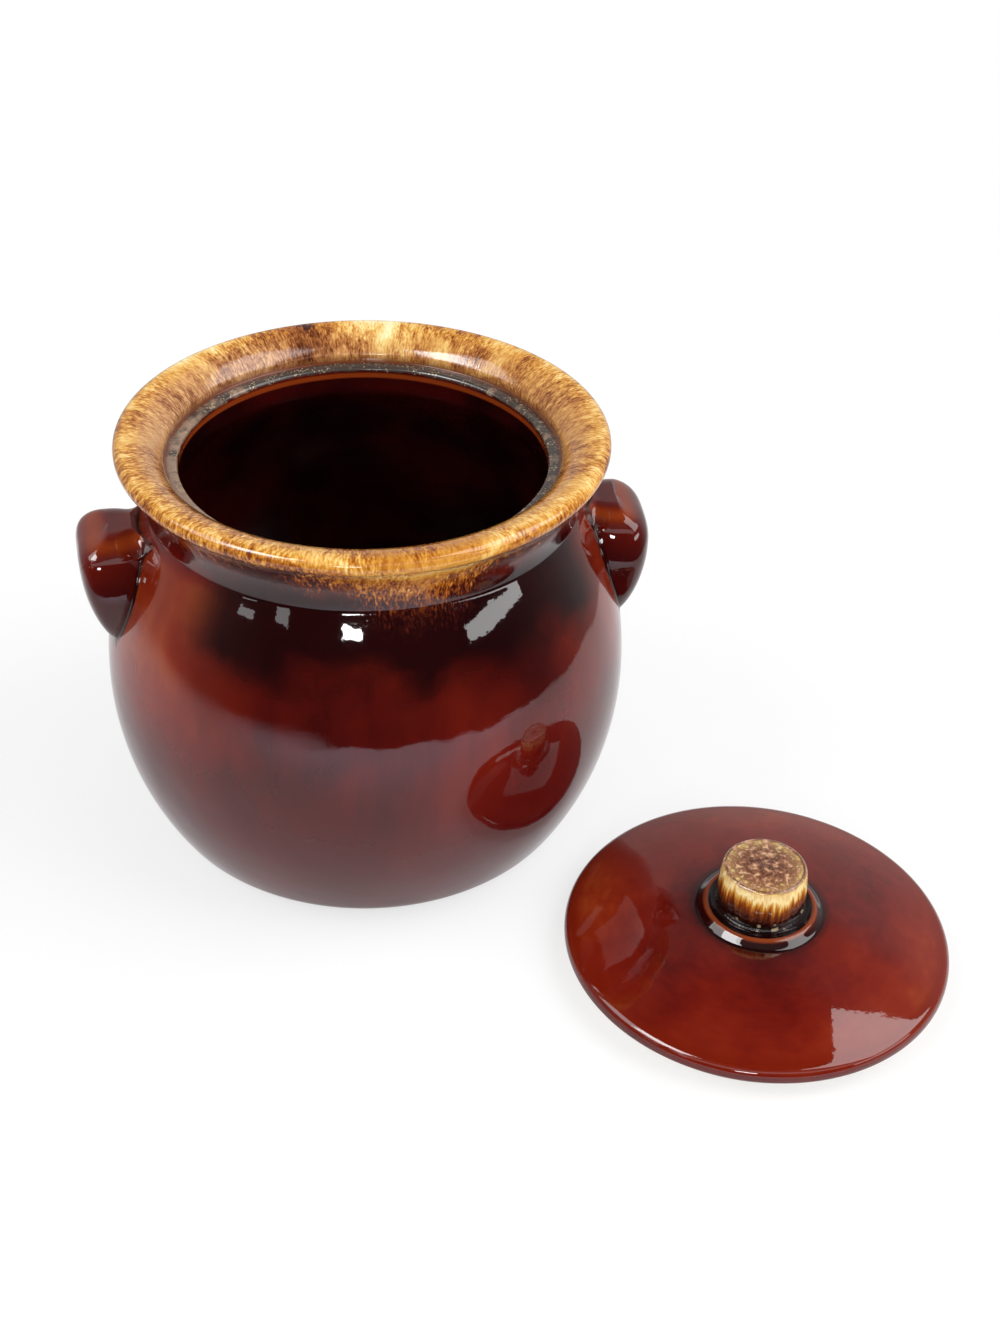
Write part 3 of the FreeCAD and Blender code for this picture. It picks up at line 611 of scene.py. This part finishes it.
def pot_material():
    """Red-brown with a drip glaze on the rim and a slate ledge for the lid.

    The run is the way along the outline in metres, from 0 on the rim's crest: plus down the outside,
    where the neck is near 0.028 and the belly is widest near 0.095, and minus down the inside."""
    material, t = new_material("pot_glaze")
    where = t.place()
    flow = t.attribute("flow").outputs["Vector"]
    x, y, run = t.split(flow)
    # painted light: redder and brighter high on the left and right, where the shoulders are lit from the
    # sides; even and maroon low on the belly
    side = t.remap(t.math("ABSOLUTE", x), 0.034, 0.062)
    upper = t.ramp_mm(run, [(26, 0.0), (34, 1.0), (62, 1.0), (100, 0.0)])
    body = red_brown(t, where, 0.34, 0.80, t.sub(t.mul(t.mul(side, upper), 0.66), 0.16))
    body = t.mix(t.remap(run, 0.076, 0.118, 0.0, 0.75), body, BELLY_MAROON)
    # nearly black below the crease: partly thick pooled glaze, partly painted shade under the rim's
    # overhang, deepest at the front
    shaded_front = t.remap(t.sub(t.mul(x, 0.12), y), 0.034, 0.053)
    ragged = t.add(run, t.mul(t.sub(t.noise(where, 38, 3, 0.50, 0.3), 0.5), 0.035))
    pooled_and_shaded = t.ramp_mm(ragged, [(16, 0.0), (23, 0.95), (43, 0.97), (60, 0.45), (84, 0.15), (110, 0.0)])
    body = t.mix(t.mul(pooled_and_shaded, t.add(0.22, t.mul(shaded_front, 0.78))), body, BLACKISH)
    # inside: near black, clouded with maroon
    inside = t.remap(run, -0.0245, -0.0215, 1.0, 0.0)
    body = t.mix(inside, body, t.mix(t.remap(t.noise(where, 30), 0.35, 0.7), BLACKISH, MAROON))

    # the drip glaze: short streaks along the run, a third of a millimetre wide
    hair = t.noise(t.stretched(flow, 1, 1, 0.40), 1500, 2, 0.55)
    coarse = t.noise(t.stretched(flow, 1, 1, 0.32, (0.3, 0.1, 0.2)), 520, 3, 0.60, 0.2)
    blots = t.noise(t.stretched(flow, 1, 1, 0.8, (0.7, 0.4, 0.0)), 48, 4, 0.60, 0.6)
    # its lower edge is uneven, and a broad tongue of it at the front runs 10 mm further down
    edge = t.mul(t.sub(t.noise(t.stretched(flow, 1, 1, 0.0), 60, 2, 0.5), 0.5), 0.010)
    tongue = t.mul(t.remap(t.math("ABSOLUTE", t.sub(x, 0.0085)), 0.010, 0.027, 1.0, 0.0),
                   t.remap(t.mul(y, -1), 0.03, 0.05))
    drip = t.add(t.add(run, edge), t.mul(tongue, -0.0105))
    level = t.ramp_mm(drip, [(-16, 0.50), (-12, 0.50), (-7, 0.54), (-3, 0.61), (0.5, 0.71), (3.0, 0.60),
                             (4.6, 0.48), (9, 0.42), (13, 0.33), (17, 0.20), (21, 0.06), (26, 0.0)])
    # patchy towards the back, with one paler place there
    back = t.remap(y, 0.036, 0.064)
    patches = t.noise(t.stretched(flow, 1, 1, 0.6, (0.1, 0.9, 0.3)), 30, 2, 0.5, 0.6)
    level = t.add(level, t.mul(back, t.add(t.mul(t.sub(patches, 0.49), 1.5), t.sub(blots, 0.53))))
    pale = t.mul(t.remap(t.math("ABSOLUTE", t.sub(x, 0.013)), 0.004, 0.011, 1.0, 0.0), back)
    pale = t.mul(pale, t.ramp_mm(run, [(-12, 0.0), (-8, 1.0), (3, 1.0), (6, 0.0)]))
    level = t.add(level, t.mul(pale, 0.10))
    rough_share = t.add(t.mul(t.sub(hair, 0.5), 1.20),
                        t.add(t.mul(t.sub(coarse, 0.5), 0.95), t.mul(t.sub(blots, 0.52), 1.05)))
    swing = t.ramp_mm(drip, [(-16, 0.75), (-6, 0.80), (2, 0.75), (7, 0.85), (10, 1.10), (16, 1.10),
                             (22, 0.6), (28, 0.0)])
    swing = t.mul(swing, t.sub(t.remap(blots, 0.46, 0.62, 1.1, 0.55), t.mul(tongue, 0.30)))
    cover = t.add(level, t.mul(rough_share, swing))
    flare = t.mul(t.ramp_mm(run, [(-15, 1.0), (-8, 0.8), (-1, 0.0)]), t.remap(x, -0.045, 0.030, 1.0, 0.45))
    drip_colour = t.mix(flare, t.ramp(cover, COLLAR_DRIP), t.ramp(cover, FLARE_DRIP))
    frayed = t.add(drip, t.mul(t.sub(hair, 0.5), -0.03))
    here = t.mul(t.remap(run, -0.0172, -0.0162), t.remap(frayed, 0.016, 0.026, 1.0, 0.0))
    colour = t.mix(here, body, drip_colour)

    # the brown line where the flare turns down, the slate ledge with its speckles, and the thin lip
    uneven = t.add(run, t.mul(t.sub(t.noise(flow, 240, 2), 0.5), 0.0016))
    crease = t.ramp_mm(uneven, [(-18.4, 0.0), (-17.3, 0.60), (-16.4, 0.50), (-15.0, 0.0)])
    colour = t.mix(crease, colour, CREASE_BROWN)
    ledge = t.ramp_mm(uneven, [(-22.6, 0.0), (-21.6, 1.0), (-18.6, 1.0), (-17.2, 0.0)])
    specks = t.remap(t.spots(flow, 900), 0.18, 0.42, 1.0, 0.0)
    specks = t.mul(specks, t.remap(t.noise(flow, 260, 2), 0.42, 0.62))
    # painted reflection: the slate is paler on the left; it is also darker towards the back and mottled
    painted_sheen_left = t.remap(x, -0.020, -0.062, 0.0, 0.20)
    darker_back = t.remap(y, 0.020, 0.055, 0.0, 0.12)
    mottle_and_sheen = t.add(t.noise(flow, 140, 3, 0.6), t.sub(painted_sheen_left, darker_back))
    slate = t.mix(t.remap(mottle_and_sheen, 0.48, 0.74), SLATE, FOG)
    slate = t.mix(t.mul(specks, 0.7), slate, SPECK_TAN)
    colour = t.mix(ledge, colour, slate)
    lip = t.ramp_mm(run, [(-25.0, 0.0), (-24.2, 0.9), (-23.3, 0.9), (-22.4, 0.0)])
    colour = t.mix(lip, colour, LIP_RED)
    t.glaze(colour, glaze_relief(t, where, cover, 0.00010))
    return material


def handle_material():
    """Painted shade and dark reflection down the lug's lower face, orange where the glaze thins on its
    upper edge, black in the crease from pooled glaze and painted shade.
    """
    material, t = new_material("handle_glaze")
    where = t.place()
    z = t.split(where)[2]
    colour = red_brown(t, where, 0.32, 0.76)
    # painted shade and dark reflection: the lug's face darkens lower down
    colour = t.mix(t.remap(z, 0.104, 0.119, 0.92, 0.0), colour, LUG_MAROON)
    edge = t.attribute("edge").outputs["Fac"]
    thin = t.mul(t.remap(edge, 0.35, 0.98), t.add(0.30, t.mul(t.noise(where, 60), 0.6)))
    colour = t.mix(thin, colour, LUG_ORANGE)
    depth = t.attribute("depth").outputs["Fac"]
    # black in the crease: pooled glaze, and painted shade where the lug meets the pot
    root = t.ramp_mm(depth, [(0.0, 0.75), (0.5, 0.6), (1.4, 0.0), (4, 0.0)])
    colour = t.mix(root, colour, BLACKISH)
    t.glaze(colour, glaze_relief(t, where))
    return material


def lid_material():
    """Red-brown with faint turned rings; its step is edged in black and brown."""
    material, t = new_material("lid_glaze")
    where = t.stretched(t.place(), move=(-LID_CENTRE[0], -LID_CENTRE[1], 0))
    x, y, z = t.split(where)
    radius = t.math("SQRT", t.add(t.mul(x, x), t.mul(y, y)))
    # thicker round the knob, thinner towards the edge, with the faint rings of the turned form
    rings = t.noise(t.stretched(t.attribute("flow").outputs["Vector"], 0.22, 0.22, 1), 420, 3, 0.6)
    thin_glaze_and_light = t.add(t.ramp_mm(radius, [(0, 0.18), (22, 0.20), (36, 0.36), (60, 0.56)]),
                    t.mul(t.sub(rings, 0.5), 0.30))
    # darker all over, and more so towards the front and the left: painted shade, with the pot's dark
    # reflection painted in on the left
    shaded_front = t.mul(t.add(t.mul(x, 0.5), y), -1)
    thin_glaze_and_light = t.sub(thin_glaze_and_light, t.remap(shaded_front, 0.0, 0.05, 0.36, 0.50))
    colour = red_brown(t, where, 0.24, 0.80, thin_glaze_and_light)
    rim = t.ramp_mm(radius, [(50, 0.0), (57, 0.20), (60.5, 0.8), (62.4, 0.5), (63, 0.2)])
    colour = t.mix(rim, colour, LID_EDGE_RED)
    under = t.remap(z, 0.0095, 0.0075)
    colour = t.mix(t.mul(under, 0.55), colour, MAROON)
    # black round the knob's foot and round the step, brown on its crest
    dark = t.ramp_mm(radius, [(12, 1.0), (16.8, 1.0), (17.4, 0.2), (18.0, 0.2), (18.8, 0.85), (20.8, 0.97),
                              (21.8, 0.45), (24.0, 0.0)])
    colour = t.mix(dark, colour, BLACKISH)
    crest = t.ramp_mm(radius, [(16.5, 0.0), (17.3, 0.8), (18.0, 0.75), (18.9, 0.0)])
    colour = t.mix(crest, colour, STEP_BROWN)
    t.glaze(colour, glaze_relief(t, where))
    return material


def knob_material():
    """Ivory at the top of the side, running down through amber and brown to black; mottled above."""
    material, t = new_material("knob_glaze")
    where = t.place()
    flow = t.attribute("flow").outputs["Vector"]
    z = t.split(where)[2]
    hair = t.noise(t.stretched(flow, 0.19, 0.19, 0.14), 1000, 3, 0.6)
    drips = t.noise(t.stretched(flow, 0.19, 0.19, 0.05, (0.2, 0.5, 0)), 420, 2, 0.5, 0.2)
    blots = t.noise(where, 420, 3, 0.65, 0.3)
    height = t.add(z, t.add(t.mul(t.sub(drips, 0.5), 0.010), t.mul(t.sub(hair, 0.5), 0.009)))
    crown = t.remap(t.add(z, t.mul(t.sub(blots, 0.5), 0.003)), 0.0366, 0.0376)
    colour = t.mix(crown, t.ramp_mm(height, KNOB_SIDE), t.ramp(blots, KNOB_CROWN))
    beads = t.remap(t.spots(t.stretched(flow, 0.19, 0.19, 0.8), 420), 0.16, 0.36, 1.0, 0.0)
    beads = t.mul(beads, t.ramp_mm(z, [(21.5, 0.3), (22.6, 1.0), (24.2, 0.8), (25.8, 0.0)]))
    colour = t.mix(beads, colour, BEAD_TAN)
    t.glaze(colour, glaze_relief(t, where, t.add(hair, drips), 0.0003))
    return material


def stoneware_material():
    """Bare fired clay on the foot and on the lid's ring."""
    material, t = new_material("bare_stoneware")
    where = t.place()
    grain = t.noise(where, 900, 4, 0.65)
    cloud = t.noise(where, 40, 3, 0.5)
    colour = t.mix(t.remap(cloud, 0.3, 0.7), CLAY_BROWN, CLAY_BUFF)
    specks = t.remap(t.spots(where, 520), 0.10, 0.20, 1.0, 0.0)
    colour = t.mix(t.mul(specks, 0.6), colour, CLAY_SPECK)
    rough = t.remap(grain, 0.3, 0.7, 0.62, 0.85)
    inputs = {"Base Color": colour, "Roughness": rough, "IOR": 1.5, "Normal": t.bump(grain, 0.0003, 0.6)}
    t.surface(t.node("ShaderNodeBsdfPrincipled", inputs).outputs[0])
    return material


# ---------------------------------------------------------------- the pieces

def dress():
    """The five pieces, each in place of its CAD node."""
    clay = stoneware_material()
    pot_glaze, handle_glaze = pot_material(), handle_material()
    lid_glaze, knob_glaze = lid_material(), knob_material()

    outline = pot_outline()
    along = run_of(outline)
    crest = along[np.argmax(outline[:, 1])]
    rows, run = rows_of(outline, 2.6, lambda p: p[:, 1] > 112, 0.7)
    pot = lathe("pot_body_glazed", rows, crest - run, (0, 0), [pot_glaze, clay], bare_foot, pot_waver)

    both = {"middle": 83.5, "bow": 15, "narrow": 12.5, "wide": 19.8, "hip": 100.5, "belly": 0.90,
            "soft": 6.5}
    own = {"reach": 94.1, "top": 120.4, "corner": 9.0, "drop": 56, "square": 3.9, "foot": 78.0}
    left = handle("left_handle_glazed", 183.7, {**both, **own}, handle_glaze)
    own = {"reach": 94.5, "top": 118.8, "corner": 12.0, "drop": 55.5, "square": 3.0, "foot": 73.5}
    right = handle("right_handle_glazed", -3.7, {**both, **own}, handle_glaze)

    rows, run = rows_of(lid_outline(), 1.8, lambda p: p[:, 0] < 23, 0.5)
    lid = lathe("lid_plate_glazed", rows, run, LID_CENTRE, [lid_glaze, clay], bare_ring, lid_waver)
    rows, run = rows_of(knob_outline(), 0.5)
    knob = lathe("lid_knob_glazed", rows, run, LID_CENTRE, [knob_glaze], glazed_all_over, knob_waver)
    for obj, node, body, slot in ((pot, "pot_body", "pot", "pot_glaze"),
                                  (left, "left_handle", "pot", "handle_glaze"),
                                  (right, "right_handle", "pot", "handle_glaze"),
                                  (lid, "lid_plate", "lid", "lid_glaze"),
                                  (knob, "lid_knob", "lid", "knob_glaze")):
        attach(obj, body)
        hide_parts(node)


# ---------------------------------------------------------------- floor, light and camera

def floor_material():
    """White paper to the camera, and a plain pale floor to all other light.

    In the glaze it glows as a painted reflection: white near the pot, as a sheet on a table, and further
    off a dim room."""
    material, t = new_material("floor")
    material.cycles.emission_sampling = "NONE"
    where = t.place()
    x, y, _ = t.split(where)
    away = t.math("SQRT", t.add(t.mul(x, x), t.mul(y, y)))
    path = t.node("ShaderNodeLightPath").outputs
    mirrored = t.math("ADD", path["Is Glossy Ray"], path["Is Transmission Ray"], clamp=True)
    paper = t.node("ShaderNodeBsdfDiffuse", {"Color": (0.84, 0.84, 0.84)}).outputs[0]
    # to the camera: paper with the object's shadow near it, pure white further off
    pictured = t.blend(t.remap(away, 0.25, 0.7, 0.70, 1.0), paper, t.emission((1, 1, 1)))
    seen = t.blend(path["Is Camera Ray"], paper, pictured)
    # in the glaze the floor glows: a painted reflection of the sheet, brighter and bluer ahead of the pot,
    # with its frayed edge, and of the room beyond it
    ahead = t.remap(t.mul(y, -1), 0.13, 0.30)
    sheet = t.blend(0.5, paper, t.emission(t.mix(ahead, (0.50, 0.48, 0.50), (1.50, 1.45, 1.85))))
    fray = t.mul(t.sub(t.noise(where, 9, 3, 0.6), 0.5), t.remap(y, -0.05, -0.25, 0.02, 0.10))
    beyond = t.remap(t.add(away, fray), t.remap(x, -0.22, -0.08, 0.27, 0.34),
                     t.remap(x, -0.22, -0.08, 0.52, 0.37))
    direction = t.node("ShaderNodeVectorMath", {0: where}, operation="NORMALIZE").outputs[0]
    painted_reflection = t.blend(beyond, sheet, t.emission(room_tone(t, direction)))
    t.surface(t.blend(mirrored, seen, painted_reflection))
    return material


def backdrop():
    """A pale floor that curves up into a pale wall, all white in the picture."""
    around = 96
    turn = np.linspace(0, math.tau, around, endpoint=False)
    # radius and height in metres, from under the pot to the top of the wall
    rise = [(0.001, 0.0), (0.5, 0.0), (2.6, 0.0), (2.9, 0.08), (3.1, 0.28), (3.2, 0.6), (3.2, 2.4)]
    vertices = [(r * math.cos(a), r * math.sin(a), z) for r, z in rise for a in turn]
    faces = []
    for i in range(len(rise) - 1):
        low, high = i * around, (i + 1) * around
        for j in range(around):
            k = (j + 1) % around
            faces.append((low + j, low + k, high + k, high + j))
    faces.append(tuple(range(around)))
    floor = new_object("floor", vertices, faces, [floor_material()])


def room_tone(t, direction):
    """The dim room: darkest towards -Y, where the photographer would stand, palest behind the pot."""
    x, y, z = t.split(direction)
    tone = t.add(t.remap(y, -0.75, 0.9, 0.02, 0.42),
                 t.mul(t.remap(x, 0.15, 0.75), t.remap(y, -0.2, 0.4, 0.0, 0.10)))
    # an even grey above, and dark straight up
    high = t.mix(t.remap(z, 0.80, 0.94), (0.19, 0.19, 0.19), (0.03, 0.03, 0.03))
    return t.mix(t.remap(z, 0.55, 0.75), t.mix(tone, (0, 0, 0), (1, 1, 1)), high)


def toward(azimuth, elevation):
    """A direction: azimuth from +Y towards +X, both in degrees."""
    a, e = math.radians(azimuth), math.radians(elevation)
    return Vector((math.sin(a) * math.cos(e), math.cos(a) * math.cos(e), math.sin(e)))


def lamp(name, azimuth, elevation, width, height, radiance, glossy=True, diffuse=True):
    """A soft rectangular lamp that covers width by height degrees as seen from the pot."""
    distance, aim = 2.4, Vector((0.04, -0.03, 0.09))    # metres
    data = bpy.data.lights.new(name, "AREA")
    data.shape = "RECTANGLE"
    data.size = 2 * distance * math.tan(math.radians(width) / 2)
    data.size_y = 2 * distance * math.tan(math.radians(height) / 2)
    data.energy = 4 * data.size * data.size_y * radiance
    obj = bpy.data.objects.new(name, data)
    obj.location = aim + toward(azimuth, elevation) * distance
    obj.rotation_euler = (-toward(azimuth, elevation)).to_track_quat("-Z", "Y").to_euler()
    obj.visible_camera = False
    obj.visible_glossy = glossy
    obj.visible_diffuse = diffuse
    bpy.context.scene.collection.objects.link(obj)


def studio():
    """Soft windows all round, a dim wall behind the camera and a fill from above.

    Each lamp has its azimuth, elevation, width and height in degrees, and then its radiance."""
    lamp("window_left", -96, 44, 38, 30, 3.0)
    lamp("window_right", 107, 46, 42, 42, 3.2)
    lamp("window_low", 125, 13, 32, 5.5, 4.6)
    lamp("window_small", -165.3, 20.2, 9.0, 4.2, 28)
    lamp("window_dim", -133.5, 20, 5, 4.5, 2.2)
    lamp("window_far", -115, 14.8, 8, 2.6, 2.4)
    lamp("window_high", -114, 48, 26, 20, 9.0, diffuse=False)
    lamp("wall_behind_camera", -174, 36, 88, 14, 0.9)
    lamp("fill_above", 20, 75, 70, 70, 0.50, glossy=False)
    world = bpy.data.worlds.new("studio")
    bpy.context.scene.world = world
    t = Tree(world)
    tone = room_tone(t, t.node("ShaderNodeTexCoord").outputs["Generated"])
    back = t.node("ShaderNodeBackground", {"Color": tone, "Strength": 1.0})
    t.node("ShaderNodeOutputWorld", {"Surface": back.outputs[0]})


def camera():
    """Looks down on the pot and the lid from the front, with its right side a little raised."""
    place = (-0.0566, -0.5262, 0.4380)
    heading, pitch, roll = 0.1946632, 0.6306, 0.0332    # radians; the heading is from +Y towards +X
    ahead = toward(math.degrees(heading), -math.degrees(pitch))
    level = Vector((math.cos(heading), -math.sin(heading), 0))
    above = level.cross(ahead)
    right = math.cos(roll) * level + math.sin(roll) * above
    up = -math.sin(roll) * level + math.cos(roll) * above
    data = bpy.data.cameras.new("camera")
    data.lens, data.sensor_width = 50.33, 36
    data.clip_start, data.clip_end = 0.01, 20
    obj = bpy.data.objects.new("camera", data)
    turn = Matrix((right, up, -ahead)).transposed()
    obj.matrix_world = Matrix.Translation(place) @ turn.to_4x4()
    bpy.context.scene.collection.objects.link(obj)
    bpy.context.scene.camera = obj


dress()
backdrop()
studio()
camera()
bpy.context.scene.view_settings.view_transform = "Standard"
